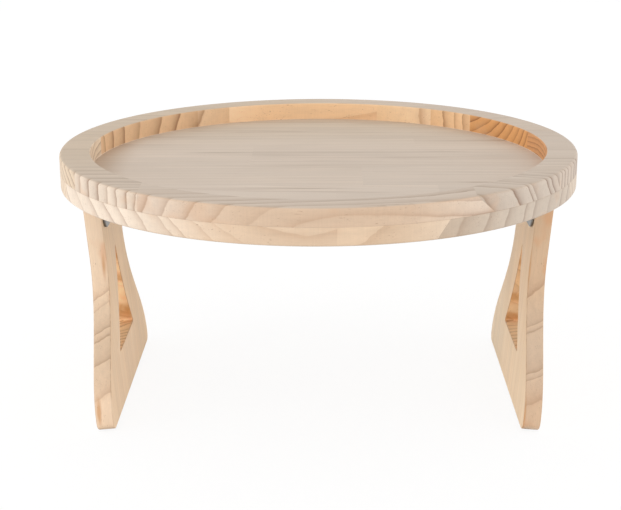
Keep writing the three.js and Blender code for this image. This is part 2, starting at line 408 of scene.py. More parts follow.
class Pine(Surface):
    """A solid pine texture: growth rings around a pith line, cut by the surface wherever it lies.

    frame_of gives the place along the grain and the two across it. face is 1 on a planed face, edge is 1
    off it and end is 1 on end grain.
    """

    def __init__(self, name, frame_of, palette, seed):
        super().__init__(name)
        self.palette = palette
        self.seed = seed
        self.point, self.normal = self.place()
        self.grain = frame_of(self, *self.point)
        self.along, self.across, self.depth = self.grain
        self.face = self.facing(*palette["face_step"])
        self.edge = self.sub(1, self.face)
        self.end = self.facing(*palette["end_step"])
        self.outward = self.add(*(self.mul(self.normal[axis], self.point[axis]) for axis in (X, Y)))
        ripple = self.noise(self.grain, *RIPPLE, (0, 0, seed + RIPPLE_SEED))
        self.ripple = self.swing(ripple, RIPPLE_REACH)
        self.fibre = self.noise(self.grain, *FIBRE)
        self.streak = self.noise(self.grain, *STREAK)
        self.blotch = self.noise(self.grain, *BLOTCH)
        self.cutter = self.noise(self.point, *CUTTER)
        canal = self.ramp01(self.noise(self.grain, *CANAL), *CANAL_STEP)
        self.canal = self.mul(canal, self.ramp01(self.noise(self.grain, *CANAL_PATCH), *CANAL_PATCH_STEP))

    def facing(self, axis, low, high):
        """How squarely the surface faces that axis, from 0 at low to 1 at high."""
        return self.ramp01(self.absolute(self.normal[axis]), low, high)

    def inside(self, x_low=None, x_high=None, y_low=None, y_high=None, slant=None, wall=False):
        """1 in a rectangle of the tray's plan, else 0. With wall, only on what faces the tray's middle.

        slant leans the rectangle's ends over, in millimetres of x for each of height.
        """
        x, y, z = self.point
        if slant is not None:
            x = self.math("MULTIPLY_ADD", self.sub(z, (JOINT_HEIGHT + TRAY_TOP) / 2), slant, x)
        tests = [self.below(self.outward, WALL_TURN)] if wall else []
        tests += [self.below(low, place) for place, low in ((x, x_low), (y, y_low)) if low is not None]
        tests += [self.below(place, high) for place, high in ((x, x_high), (y, y_high)) if high is not None]
        return self.mul(*tests)

    def stave(self, cells, list_count):
        """The pith, drift and tint of the stave here, and 1 or 0 for each list of rings."""
        _, pith, drift, tint, which = cells[0]
        listed = [float(which == k) for k in range(list_count)]
        for box, cell_pith, cell_drift, cell_tint, which in cells[1:]:
            here = self.inside(**box)
            pith = self.mix_as("VECTOR", here, pith, cell_pith)
            drift = self.mix_as("VECTOR", here, drift, cell_drift)
            tint = self.blend(here, tint, cell_tint)
            listed = [self.mix(here, old, float(which == k)) for k, old in enumerate(listed)]
        return self.parts(pith), self.parts(drift), tint, listed

    def trunk_radius(self, pith, drift):
        """The distance from the pith line. Slow waves in the trunk carry it off true."""
        wave = self.noise(self.grain, *WAVE, (0, 0, self.seed))
        sway = self.noise(self.grain, *SWAY, (SWAY_SHIFT, 0, self.seed + SWAY_SEED))
        u = self.sub(self.add(self.across, self.swing(wave, WAVE_REACH)), pith[0])
        v = self.sub(self.add(self.depth, self.swing(sway, SWAY_REACH)), pith[1])
        u = self.sub(u, self.mul(drift[0], self.along))
        v = self.sub(v, self.mul(drift[1], self.along))
        return self.hypot(u, v)

    def around_knots(self, radius, knots):
        """The radius with rings pushed out around each knot, and how far a place is in a knot's heart."""
        heart = 0
        for centre_along, centre_across, size in knots:
            near_along = self.mul(self.sub(self.along, centre_along), 1 / KNOT_STRETCH)
            reach = self.hypot(near_along, self.sub(self.across, centre_across))
            push = self.ramp01(reach, KNOT_FIELD * size, 0)
            radius = self.add(radius, self.mul(push, KNOT_PUSH * size))
            ragged = self.add(reach, self.mul(self.ripple, KNOT_RAGGED))
            nearness = self.ramp01(ragged, KNOT_OUTER * size, KNOT_INNER * size)
            heart = self.math("MAXIMUM", heart, nearness)
        return self.add(radius, self.ripple), heart

    def ring_count(self, radius, spacing, offset, ring_lists, listed):
        """The rings passed on the way out from the pith: even ones, or those of the stave's own list."""
        count = self.add(self.math("DIVIDE", radius, spacing), offset)
        for (rings, late_width), chosen in zip(ring_lists, listed):
            points, widest, total = steps_of(rings, late_width)
            counted = self.mul(self.curve(self.mul(radius, 1 / widest), points), float(total))
            count = self.mix(chosen, count, counted)
        return count

    def by_surface(self, wood):
        """The colour of early or late wood on a face, an edge or end grain."""
        colour = self.blend(self.end, self.palette["edge_" + wood], self.palette["end_" + wood])
        return self.blend(self.face, colour, self.palette["face_" + wood])

    def ring_strength(self):
        """How strongly the rings show on a face, an edge or end grain."""
        left, right, front = self.palette["face_strengths"]
        on_face = self.span(self.ramp01(self.along, *LEFT_TO_RIGHT), left, right)
        on_face = self.mix(self.ramp01(self.across, *MIDDLE_TO_FRONT), on_face, front)
        off_face = self.mix(self.end, self.palette["edge_strength"], self.palette["end_strength"])
        return self.mix(self.face, off_face, on_face)

    def tinted(self, factor, colour, tint):
        return self.blend(factor, colour, self.blend(1, colour, tint, "MULTIPLY"))

    def shaded(self, colour, luck):
        """Fibres, streaks, blotches, the ring's own shade and the cutter's marks."""
        shade = self.mul(self.edge, self.span(self.cutter, -CUTTER_SHADE, CUTTER_SHADE))
        for noise, reach in zip((self.fibre, self.streak, self.blotch, luck), SHADES):
            shade = self.add(shade, self.span(noise, -reach, reach))
        value = self.add(shade, 1)
        return self.blend(1, colour, self.vector(value, value, value), "MULTIPLY")

    def lined(self, colour, late_colour):
        """Long thin lines that come and go on a planed face, dark ones and pale ones."""
        wander = self.noise(self.grain, *LINE)
        fading = self.noise(self.grain, *LINE_PATCH)
        for middle, half_width, patch_step, strength, paint in (
                (*DARK_LINE, self.palette["line_strength"], late_colour),
                (*PALE_LINE, PALE_LINE_STRENGTH, self.palette["pale_line"])):
            line = self.ramp01(self.absolute(self.sub(wander, middle)), half_width, 0)
            shown = self.mul(line, self.ramp01(fading, *patch_step), self.face, strength)
            colour = self.blend(shown, colour, paint)
        return colour

    def stained(self, colour):
        stain = self.ramp01(self.noise(self.grain, *STAIN, (0, 0, self.seed)), *STAIN_STEP)
        stain = self.mul(stain, self.palette["stain_strength"], self.edge)
        return self.blend(stain, colour, self.palette["stain"])

    def toned(self, colour):
        """Changes of colour by place along and across the grain, some of them painted shade or light."""
        for tone, along_step, across_step, kind in self.palette["tones"]:
            aged = self.mul(self.ramp01(self.along, *along_step), self.ramp01(self.across, *across_step))
            aged = self.mul(aged, self.face if kind == "face" else self.edge)
            colour = self.tinted(aged, colour, (*tone, 1))
        return colour

    def with_canals(self, colour):
        """The short dark dashes of resin canals, fainter on a planed face."""
        strength = self.sub(1, self.mul(self.face, CANAL_FACE_LOSS))
        shown = self.mul(self.canal, CANAL_STRENGTH, strength)
        return self.blend(shown, colour, self.palette["canal"])

    def with_worn_arris(self, colour):
        """A dark line that comes and goes where a leg's edge turns into its face."""
        turn = self.absolute(self.normal[X])
        arris = self.mul(self.ramp01(turn, *ARRIS_STEP), self.ramp01(turn, *ARRIS_END_STEP))
        worn = self.ramp01(self.add(self.streak, self.sub(self.blotch, 0.5)), *WORN_STEP)
        shown = self.mul(arris, worn, self.palette["arris"])
        return self.blend(shown, colour, self.palette["canal"])

    def with_pitch(self, colour):
        """Orange streaks of pitch on a leg's front edge."""
        front = self.below(self.across, -CUTOUT_HALF - CUTOUT_MARGIN)
        for centre_along, centre_depth, half_length, half_width in self.palette["pitch"]:
            reach = self.hypot(self.mul(self.sub(self.along, centre_along), 1 / half_length),
                               self.mul(self.sub(self.depth, centre_depth), 1 / half_width))
            ragged = self.add(reach, self.mul(self.ripple, PITCH_RAGGED))
            shown = self.mul(self.ramp01(ragged, *PITCH_STEP), front, self.edge, PITCH_STRENGTH)
            colour = self.blend(shown, colour, self.palette["knot"])
        return colour

    def with_knots(self, colour, heart):
        shown = self.mul(heart, self.edge, self.span(self.streak, *KNOT_STRENGTH))
        return self.blend(shown, colour, self.palette["knot"])


def pine(name, frame_of, cells, ring_lists, palette, seed, knots=()):
    """A pine material.

    cells are the staves that the board is glued up from, each made by cell(). ring_lists hold the radii of
    rings, each list with the width of its dark lines. A leg has a cut-out, worn arrises, pitch and knots.
    """
    wood = Pine(name, frame_of, palette, seed)
    pith, drift, tint, listed = wood.stave(cells, len(ring_lists))
    spacing, offset = pith[2], drift[2]
    radius, heart = wood.around_knots(wood.trunk_radius(pith, drift), knots)
    count = wood.ring_count(radius, spacing, offset, ring_lists, listed)
    ring = wood.math("FLOOR", count)
    part = wood.math("FRACT", count)

    # Earlywood darkens slowly outwards into a thin latewood line that ends sharply
    line_luck = wood.chance(wood.add(ring, wood.mul(offset, OFFSET_LUCK)))
    late = wood.mul(wood.stops(part, LATE_STOPS), wood.span(line_luck, *LATE_LUCK))
    late = wood.mix(wood.face, late, wood.mul(late, late))
    soft = wood.stops(part, SOFT_STOPS)

    # The surface takes the rings and the finish by its kind
    strength = wood.ring_strength()
    late_colour = wood.by_surface("late")
    soft_share = wood.mul(soft, wood.mul(strength, SOFT_STRENGTH))
    colour = wood.blend(soft_share, wood.by_surface("early"), late_colour)
    colour = wood.blend(wood.mul(late, strength), colour, late_colour)
    colour = wood.blend(wood.mix(wood.face, 1, palette["face_tint"]), colour, tint, "MULTIPLY")
    colour = wood.shaded(colour, wood.chance(wood.math("MULTIPLY_ADD", ring, RING_LUCK, seed)))
    colour = wood.stained(wood.lined(colour, late_colour))
    colour = wood.toned(colour)
    # Painted light: the edges within the cut-out's width, above all its inner walls, are lightened and
    # yellowed where they stand in the leg's shade.
    if "cut" in palette:
        cutout_painted_light = wood.below(wood.absolute(wood.across), CUTOUT_HALF + CUTOUT_MARGIN)
        colour = wood.tinted(wood.mul(cutout_painted_light, wood.edge), colour, palette["cut"])
    colour = wood.with_canals(colour)
    if knots:
        colour = wood.with_pitch(wood.with_worn_arris(colour))
        colour = wood.with_knots(colour, heart)
    wood.set("Base Color", colour)

    wood.set("Roughness", wood.add(wood.span(wood.streak, *WOOD_ROUGHNESS), wood.mul(late, LATE_GLOSS)))
    wood.set("Specular IOR Level", WOOD_SPECULAR)
    relief = 0
    for height, share in zip((late, wood.fibre, wood.canal, wood.cutter), RELIEFS):
        relief = wood.add(relief, wood.mul(height, share))
    wood.set("Normal", wood.bump(relief, *WOOD_BUMP))
    return wood.material


def steel(name, low, high):
    """Zinc-plated sheet or wire: brushed, with a cloudy plating and dulled rubbed patches."""
    metal = Surface(name)
    place, _ = metal.place()
    cloud = metal.noise(place, *PLATING)
    brushed = metal.noise(place, *BRUSHING)
    rubbed = metal.ramp01(metal.noise(place, *RUBBING), *RUBBED_STEP)
    colour = metal.blend(cloud, low, high)
    metal.set("Base Color", metal.blend(metal.mul(rubbed, RUBBED_STRENGTH), colour, low))
    rough = metal.add(metal.mul(brushed, BRUSHED_ROUGHNESS), metal.mul(rubbed, RUBBED_ROUGHNESS))
    metal.set("Roughness", metal.add(metal.span(cloud, *STEEL_ROUGHNESS), rough))
    metal.set("Metallic", 1)
    relief = metal.add(brushed, metal.mul(rubbed, RUBBED_RELIEF))
    metal.set("Normal", metal.bump(relief, *STEEL_BUMP))
    return metal.material


# Grain directions: along X in the tray's boards, down the plate in the legs
def tray_grain(wood, x, y, z):
    return x, y, z


def leg_grain(side):
    """Places along and across the grain of the leg on that side, with its lean taken out."""
    def grain(wood, x, y, z):
        out = wood.math("MULTIPLY_ADD", x, side, -PIN_X)
        up = wood.sub(z, PIN_Z)
        along = wood.add(wood.mul(out, math.sin(LEAN)), wood.mul(up, math.cos(LEAN)))
        depth = wood.sub(wood.mul(out, math.cos(LEAN)), wood.mul(up, math.sin(LEAN)))
        return along, y, depth
    return grain


def cell(pith, drift, tint, which=None, **box):
    """A stave: what its wood is like, and its box for Pine.inside. Some tints also hold painted light or
    shade. The first stave fills the rest.

    pith is the pith's two places across the grain and the spacing of even rings. drift is how far the pith
    moves across for each millimetre along, and an offset of the rings. which is its list of rings.
    """
    return box, pith, drift, (*tint, 1), which


# Tones are (tint, step along the grain, step across it, the kind of surface)
TRAY_PALETTE = dict(
    face_step=(Z, 0.55, 0.9),
    end_step=(X, 0.22, 0.72),
    # The flat faces, which look up or down, take greyer colours than the sides: painted sheen of the white
    # surroundings on the same wood.
    face_early=srgb(213, 197, 181),
    face_late=srgb(182, 161, 141),
    edge_early=srgb(226, 199, 171),
    edge_late=srgb(194, 156, 124),
    end_early=srgb(243, 226, 207),
    end_late=srgb(164, 132, 110),
    canal=srgb(150, 104, 72),
    edge_strength=0.42,
    end_strength=0.95,
    line_strength=0.62,
    pale_line=srgb(224, 209, 194),
    stain=srgb(222, 180, 144),
    stain_strength=0.30,
    face_tint=0.2,
)

RIM_PALETTE = dict(
    TRAY_PALETTE,
    face_strengths=(0.22, 0.70, 1.7),
    tones=[((0.95, 0.925, 0.87), (70, -50), (-125, -20), "face"),
           ((0.985, 0.975, 0.96), EVERYWHERE, EVERYWHERE, "face"),
           # The third tone is painted shade: the sides darker towards the right end, away from the key lamp.
           ((0.95, 0.955, 0.965), (115, 140), EVERYWHERE, "edge")],
)
RIM_RINGS = [24, 31.4, 38.8, 45.3, 52.4, 58.6, 74]
RIM_RINGS_BARS = [50, 59.9, 69, 77.3, 83.8, 89, 94.4, 98.6, 104]
RIM_RINGS_RIGHT = [62, 71.1, 77, 81, 92.8, 95.8, 104.9, 119.6, 190]
RIM_RINGS_END = [60, 100, 122, 129.8, 137.5, 143.5, 148.4, 152.8, 158]
WALL_RINGS_LEFT = [20, 27.8, 39.5, 53, 68.6, 87, 100.4, 116, 150]
WALL_RINGS_RIGHT = [85, 94.6, 99, 104.6, 114.5, 200]
WALL_TRUNK_LEFT = ((0, 262.5, 6), (0, 0.94, 0))
WALL_TRUNK_RIGHT = ((0, 152, 6), (0, 0, 4.1))
RIM_STAVES = [
    cell((-100, 172.7, 6), (0, 0.25, 0), (0.96, 0.94, 0.94), 0),
    cell((-20, 145, 6), (0, 0, 0), (0.97, 0.96, 0.95), 1, y_high=-50, x_high=-91.5),
    # The next two staves are staves of their own, darkened further as painted shade at the right end, away
    # from the key lamp.
    cell((-20, 245, 6), (0, -0.45, 0), (0.78, 0.78, 0.79), 2, y_high=-50, x_low=85.2, slant=1),
    cell((80, 145, 6), (0, 0, 0), (0.80, 0.79, 0.79), 3, y_low=-75, y_high=35, x_low=60),
    cell((52, -32, 4.6), (0, 0, 1.4), (0.97, 0.92, 0.83), y_low=-73, y_high=20, x_high=0),
    cell((-40, 230, 6.4), (0, 0.1, 9.2), (0.97, 0.91, 0.80), y_low=20, x_high=-20),
    cell((60, 60, 5.2), (0, 0.07, 6.8), (0.96, 0.91, 0.83), y_low=35, x_low=-20),
    # The staves of the pocket's inner wall: tinted orange, and lifted above the wood's own colour as painted
    # light, most at the back, where the wall faces the front.
    cell(*WALL_TRUNK_LEFT, (0.94, 0.74, 0.53), 4, wall=True, y_low=20, x_high=-80),
    cell(*WALL_TRUNK_LEFT, (1.05, 0.88, 0.68), 4, wall=True, y_low=20, x_low=-80, x_high=-60),
    cell((20, -60, 34), (0, 0.1, 2.3), (1.31, 1.165, 0.96), wall=True, y_low=20, x_low=-60),
    cell(*WALL_TRUNK_RIGHT, (1.22, 1.09, 0.88), 5, wall=True, y_low=20, x_low=39),
    cell(*WALL_TRUNK_RIGHT, (1.08, 0.84, 0.58), 5, wall=True, y_low=20, x_low=74),
    cell((110, 185, 5.4), (0, 0, 5.6), (0.90, 0.54, 0.25), wall=True, y_low=35, x_low=98),
    cell((10, -100, 3), (0, 0, 6.2), (0.87, 0.52, 0.27), wall=True, y_low=-35, y_high=35, x_low=60),
]
rim_pine = pine(
    "pine_rim_board", tray_grain, RIM_STAVES,
    [(RIM_RINGS, 3), (RIM_RINGS_BARS, 5.2), (RIM_RINGS_RIGHT, 2.4), (RIM_RINGS_END, 4),
     (WALL_RINGS_LEFT, 5.2), (WALL_RINGS_RIGHT, 4.4)],
    RIM_PALETTE, 3,
)

BASE_PALETTE = dict(
    TRAY_PALETTE,
    edge_strength=0.36,
    end_strength=0.48,
    face_strengths=(0.34, 0.34, 0.34),
    line_strength=0.95,
    # The first tone is painted shade and a painted reflection of the back wall: the floor darker and
    # yellower towards the back.
    tones=[((0.945, 0.93, 0.88), EVERYWHERE, (20, 125), "face"),
           # The second tone is a painted shadow: the floor darkened to brown at its left end, beside the
           # pocket's wall.
           ((0.78, 0.70, 0.62), (-108, -129), EVERYWHERE, "face"),
           ((0.975, 0.965, 0.955), (60, 130), EVERYWHERE, "face"),
           # The last tone is painted shade: the sides darker towards the right end, away from the key lamp.
           ((0.94, 0.945, 0.955), (85, 130), EVERYWHERE, "edge")],
)
BASE_RINGS_LEFT = [35, 47, 59, 68.5, 80.3, 89.9, 98.4, 104.8, 112.3, 119.2, 122, 127.1, 130.7, 135.6, 150]
BASE_RINGS_RIGHT = [30, 40.2, 47.7, 56.6, 69.4, 81.6, 87.9, 97.8, 106.4, 115.2, 131.6, 160]
BASE_TRUNK = ((-20, 98, 6), (0, 0.13, 0))
BASE_STAVES = [
    # The first two staves are lifted past the wood's colour: painted light of the white floor's bounce on
    # the lower board's side.
    cell(*BASE_TRUNK, (1.06, 1.055, 1.05), 0),
    cell(*BASE_TRUNK, (1.06, 1.05, 1.03), 1, y_high=-20, x_low=10),
    # This stave is one of its own, darkened further as painted shade at the right end, away from the key
    # lamp.
    cell(*BASE_TRUNK, (0.78, 0.77, 0.76), 1, y_high=-20, x_low=70, slant=-0.7),
    cell((-110, 84, 5.2), (0, 0.03, 1.9), (0.98, 0.93, 0.86), y_low=-58, x_high=25),
    cell((40, 190, 5.6), (0, -0.04, 3.3), (0.92, 0.90, 0.87), y_low=-58, x_low=25),
    cell((90, 100, 6.2), (0, 0.02, 5.7), (1, 0.96, 0.90), y_low=-10, x_high=-40),
    cell((-60, 80, 5.4), (0, -0.02, 8.2), (0.96, 0.91, 0.85), y_low=-10, x_low=-40),
    cell((130, 200, 6.6), (0, 0.03, 2.6), (0.99, 0.94, 0.88), y_low=40, x_high=60),
    cell((-30, 90, 6), (0, 0, 4.9), (0.98, 0.91, 0.83), y_low=40, x_low=60),
    cell((190, 80, 5.4), (0, 0.02, 6.6), (1, 0.94, 0.88), y_low=88),
]
base_pine = pine(
    "pine_base_board", tray_grain, BASE_STAVES,
    [(BASE_RINGS_LEFT, 2.7), (BASE_RINGS_RIGHT, 2.7)],
    BASE_PALETTE, 11,
)

# A streak of pitch is (place along, depth, half length, half width), a knot (place along, across, size)
LEG_PALETTE = dict(
    face_step=(X, 0.6, 0.95),
    end_step=(Z, 0.35, 0.85),
    face_early=srgb(248, 219, 184),
    face_late=srgb(212, 171, 130),
    edge_early=srgb(250, 224, 195),
    edge_late=srgb(196, 150, 112),
    end_early=srgb(226, 203, 176),
    end_late=srgb(150, 118, 90),
    canal=srgb(150, 100, 64),
    arris=0.5,
    pitch=[(-42, 5, 9, 1.6), (-115, 10.5, 9, 1.8), (-90, 1.4, 12, 1.2)],
    knot=srgb(206, 140, 74),
    edge_strength=0.42,
    end_strength=0.9,
    face_strengths=(0.30, 0.30, 0.30),
    line_strength=0.30,
    pale_line=srgb(252, 228, 200),
    stain=srgb(228, 164, 112),
    stain_strength=0.45,
    # cut is painted light: it lightens and yellows the cut-out's inner walls.
    cut=(1.18, 1.08, 0.88, 1),
    face_tint=1,
    tones=[((1.02, 1.03, 1.06), (-60, -115), EVERYWHERE, "face"),
           ((0.98, 0.96, 0.92), EVERYWHERE, (5, 45), "face"),
           ((0.98, 0.94, 0.91), (-25, -105), EVERYWHERE, "edge")],
)
LEFT_RINGS = [66, 71, 76.5, 81, 86, 90.5, 95.4, 99.8, 104.6, 109, 114, 118.5, 123.6, 128.2, 133, 138, 143,
              148.6, 155, 167.2, 170.3, 179, 181.6, 190.5, 200.5, 230]
LEFT_STAVE = cell((120, 60, 7), (0, 0, 0), (1.03, 1.03, 1.03), 0)
left_pine = pine(
    "pine_left_leg", leg_grain(-1), [LEFT_STAVE], [(LEFT_RINGS, 1.7)], LEG_PALETTE, 21,
    knots=[(-86.5, 23, 5.2), (-63, 7, 2.8), (-44, 1.5, 4.2)],
)
RIGHT_PALETTE = dict(
    LEG_PALETTE,
    arris=0.35,
    pitch=[(-44, 2.6, 17, 1.5), (-116, 3, 12, 1.4)],
    # The edge colours and the last tone are darker than the left leg's: painted shade on the leg further
    # from the key lamp.
    edge_early=srgb(231, 199, 165),
    edge_late=srgb(172, 124, 92),
    end_early=srgb(232, 210, 184),
    end_late=srgb(172, 140, 110),
    tones=[((1.035, 1.08, 1.125), (-60, -115), EVERYWHERE, "face"),
           ((0.94, 0.965, 0.985), EVERYWHERE, (5, 45), "face"),
           ((0.935, 0.915, 0.925), (-25, -105), EVERYWHERE, "edge")],
)
RIGHT_RINGS = [70, 76, 81, 86, 91.5, 96, 101, 106.4, 111, 116.5, 121, 126, 131.4, 136, 141.5, 147, 152, 158,
               165, 176.6, 186.5, 188.6, 204.2, 206.2, 213.3, 240]
RIGHT_STAVE = cell((130, -50, 7), (0, 0, 0), (1.01, 1.01, 1.01), 0)
right_pine = pine(
    "pine_right_leg", leg_grain(1), [RIGHT_STAVE], [(RIGHT_RINGS, 1.7)], RIGHT_PALETTE, 34,
    knots=[(-92, 27, 2.8), (-77, 16, 2.4), (-52, 3, 2)],
)

# The hinges' steel is darkened to a dull brown-grey: painted shade for the hinges that sit under the tray.
hinge_steel = steel("hinge_steel", srgb(74, 68, 60), srgb(156, 154, 150))
screw_steel = steel("screw_steel", srgb(112, 115, 120), srgb(176, 179, 184))

SMOOTH_BELOW = math.radians(35)
SAME_SPOT = 1e-6
ON_AXIS = 1e-9


def new_object(name, bm, material):
    """Puts the finished mesh in the scene, with creases where the surface turns sharply."""
    bmesh.ops.recalc_face_normals(bm, faces=bm.faces)
    for face in bm.faces:
        face.smooth = True
    for edge in bm.edges:
        edge.smooth = len(edge.link_faces) == 2 and edge.calc_face_angle(0) < SMOOTH_BELOW
    bmesh.ops.scale(bm, vec=(MM, MM, MM), verts=bm.verts)
    mesh = bpy.data.meshes.new(name)
    bm.to_mesh(mesh)
    bm.free()
    mesh.materials.append(material)
    thing = bpy.data.objects.new(name, mesh)
    bpy.context.collection.objects.link(thing)
    return thing


def arc(centre_x, centre_y, radius, start, end, steps):
    points = []
    for i in range(steps + 1):
        angle = math.radians(start + (end - start) * i / steps)
        points.append((centre_x + radius * math.cos(angle), centre_y + radius * math.sin(angle)))
    return points


def bezier(controls, steps):
    """Points of a Bezier curve with any number of control points."""
    order = len(controls) - 1
    points = []
    for i in range(steps + 1):
        t = i / steps
        shares = [math.comb(order, k) * (1 - t) ** (order - k) * t ** k for k in range(order + 1)]
        points.append(tuple(sum(a * b[axis] for a, b in zip(shares, controls)) for axis in (X, Y)))
    return points


def without_repeats(points):
    kept = []
    for point in points:
        if not kept or math.dist(point, kept[-1]) > SAME_SPOT:
            kept.append(point)
    if math.dist(kept[0], kept[-1]) < SAME_SPOT:
        kept.pop()
    return kept


def inset(points, distance):
    """The closed outline moved towards its left side by distance."""
    moved = []
    count = len(points)
    for i, point in enumerate(points):
        before = Vector(points[i]) - Vector(points[i - 1])
        after = Vector(points[(i + 1) % count]) - Vector(point)
        before.normalize()
        after.normalize()
        normal = Vector((-before.y - after.y, before.x + after.x))
        normal.normalize()
        share = max(0.5, normal.dot(Vector((-after.y, after.x))))
        moved.append((point[0] + normal.x * distance / share, point[1] + normal.y * distance / share))
    return moved


def turned(bm, profile, segments, closed=True):
    """Adds a profile of (radius, height) turned about Z, and gives its rings. One on the axis is a point."""
    rings = []
    for radius, height in profile:
        count = 1 if radius < ON_AXIS else segments
        angles = [math.tau * i / segments for i in range(count)]
        rings.append([bm.verts.new((radius * math.cos(a), radius * math.sin(a), height)) for a in angles])
    for one, two in zip(rings, rings[1:] + (rings[:1] if closed else [])):
        if len(one) == 1 and len(two) == 1:
            continue
        for i in range(segments):
            j = (i + 1) % segments
            corners = [one[i % len(one)], one[j % len(one)], two[j % len(two)], two[i % len(two)]]
            bm.faces.new(list(dict.fromkeys(corners)))
    return rings


def joined(bm, one, two):
    """Adds a band of faces between two outlines with as many points."""
    for i in range(len(one)):
        j = (i + 1) % len(one)
        bm.faces.new((one[i], one[j], two[j], two[i]))


def fill(bm, loops):
    """Closes a flat outline, given first, around the holes that follow it."""
    flat = [vert for loop in loops for vert in loop]
    for corners in tessellate_polygon([[vert.co for vert in loop] for loop in loops]):
        bm.faces.new([flat[corner] for corner in corners])


def eased(thickness, ease, steps):
    """The (inset, depth) layers of a plate whose edges are rounded."""
    layers = []
    for i in range(steps + 1):
        angle = math.pi / 2 * i / steps
        layers.append((ease * (1 - math.sin(angle)), ease * (1 - math.cos(angle))))
    return layers + [(shift, thickness - depth) for shift, depth in reversed(layers)]


def plate(bm, outer, holes, layers, hole_layers, spot):
    """Adds a flat plate whose outlines move inwards as layers say.

    spot turns a depth and the outline's two coordinates into a point.
    """
    ends = []
    for outline, inward, steps in [(outer, 1, layers)] + [(hole, -1, hole_layers) for hole in holes]:
        loops = []
        for shift, depth in steps:
            loops.append([bm.verts.new(spot(depth, a, b)) for a, b in inset(outline, inward * shift)])
        for one, two in zip(loops, loops[1:]):
            joined(bm, one, two)
        ends.append((loops[0], loops[-1]))
    for which in (0, 1):
        fill(bm, [end[which] for end in ends])


def rim_board():
    """The ring on top, its edges rounded over and eased."""
    top = TRAY_TOP - RIM_TOP_ROUND
    inner = RECESS_RADIUS + RIM_INNER_EASE
    profile = [(RECESS_RADIUS, JOINT_HEIGHT), (TRAY_RADIUS - JOINT_EASE, JOINT_HEIGHT),
               (TRAY_RADIUS, JOINT_HEIGHT + JOINT_EASE)]
    profile += arc(TRAY_RADIUS - RIM_TOP_ROUND, top, RIM_TOP_ROUND, 0, 90, steps=8)
    profile += arc(inner, TRAY_TOP - RIM_INNER_EASE, RIM_INNER_EASE, 90, 180, steps=6)
    bm = bmesh.new()
    turned(bm, profile, BOARD_SEGMENTS)
    return bm


def base_board():
    """The disc below, with the shallow pocket that is routed into it inside the rim."""
    floor_height = JOINT_HEIGHT - POCKET_DEPTH
    round_centre = TRAY_RADIUS - BASE_ROUND
    profile = [(0, TRAY_BOTTOM), (FLAT_RING_RADIUS, TRAY_BOTTOM), (round_centre, TRAY_BOTTOM)]
    profile += arc(round_centre, TRAY_BOTTOM + BASE_ROUND, BASE_ROUND, -90, 0, steps=6)[1:]
    profile += [(TRAY_RADIUS, JOINT_HEIGHT - JOINT_EASE), (TRAY_RADIUS - JOINT_EASE, JOINT_HEIGHT),
                (RECESS_RADIUS, JOINT_HEIGHT)]
    fillet_centre = (RECESS_RADIUS - POCKET_FILLET, floor_height + POCKET_FILLET)
    profile += arc(*fillet_centre, POCKET_FILLET, 0, -90, steps=3)
    profile += [(FLAT_RING_RADIUS, floor_height), (0, floor_height)]
    bm = bmesh.new()
    turned(bm, profile, BOARD_SEGMENTS)
    return bm


rim = new_object("rim_board", rim_board(), rim_pine)
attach(rim, "tray")
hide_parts("tray_rim")

# The pocket's wall carries on the rim's wood above it
POCKET_WALL_MARGIN = 0.1
base = new_object("base_board", base_board(), base_pine)
base.data.materials.append(rim_pine)
for face in base.data.polygons:
    from_wall = math.hypot(face.center.x, face.center.y) / MM - RECESS_RADIUS
    if abs(from_wall) < POCKET_WALL_MARGIN and face.center.z / MM < JOINT_HEIGHT:
        face.material_index = 1
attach(base, "tray")
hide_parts("tray_base")


def leg_outline():
    """The leg's outline, anticlockwise in its own plane, y to the right and z up."""
    flare_bottom = LEG_FOOT + FOOT_CORNER
    flare_top = flare_bottom + FLARE_HEIGHT
    shoulder = LEG_TOP - NECK_CORNER
    right = arc(FOOT_HALF - FOOT_CORNER, flare_bottom, FOOT_CORNER, -90, 0, steps=10)
    right += bezier([(FOOT_HALF, flare_bottom), (FOOT_HALF, flare_bottom + FLARE_HEIGHT * LOWER_PULL),
                     (NECK_HALF, flare_top - FLARE_HEIGHT * UPPER_PULL), (NECK_HALF, flare_top)], steps=48)
    right += bezier([(NECK_HALF, flare_top), (NECK_HALF, shoulder)], steps=8)
    right += arc(NECK_HALF - NECK_CORNER, shoulder, NECK_CORNER, 0, 90, steps=6)
    left = [(-y, z) for y, z in reversed(right)]
    return without_repeats(right + left)


def cutout_outline():
    """The triangular cut-out, anticlockwise, its sides bowed like the leg's flare."""
    low = LEG_FOOT + FOOT_BAND
    high = low + CUTOUT_HEIGHT
    corner = Vector((CUTOUT_HALF, low))
    point = Vector((0, high))
    bow = Vector((CUTOUT_HALF * CUTOUT_SIDE_WIDTH_SHARE, low + CUTOUT_HEIGHT * CUTOUT_SIDE_HEIGHT_SHARE))
    side_start = corner + (bow - corner).normalized() * CUTOUT_CORNER
    side_end = point + (bow - point).normalized() * CUTOUT_CORNER
    right = bezier([(CUTOUT_HALF - CUTOUT_CORNER, low), corner, side_start], steps=6)
    right += bezier([side_start, bow, side_end], steps=28)
    over = bezier([side_end, point, (-side_end.x, side_end.y)], steps=6)
    left = [(-y, z) for y, z in reversed(right)]
    return without_repeats(right + over + left)


def pin_axis(side):
    """Where a side's pins lie, the side 1 for right and -1 for left."""
    return Matrix.Rotation(0 if side > 0 else math.pi, 4, "Z") @ Matrix.Translation((PIN_X, 0, PIN_Z))


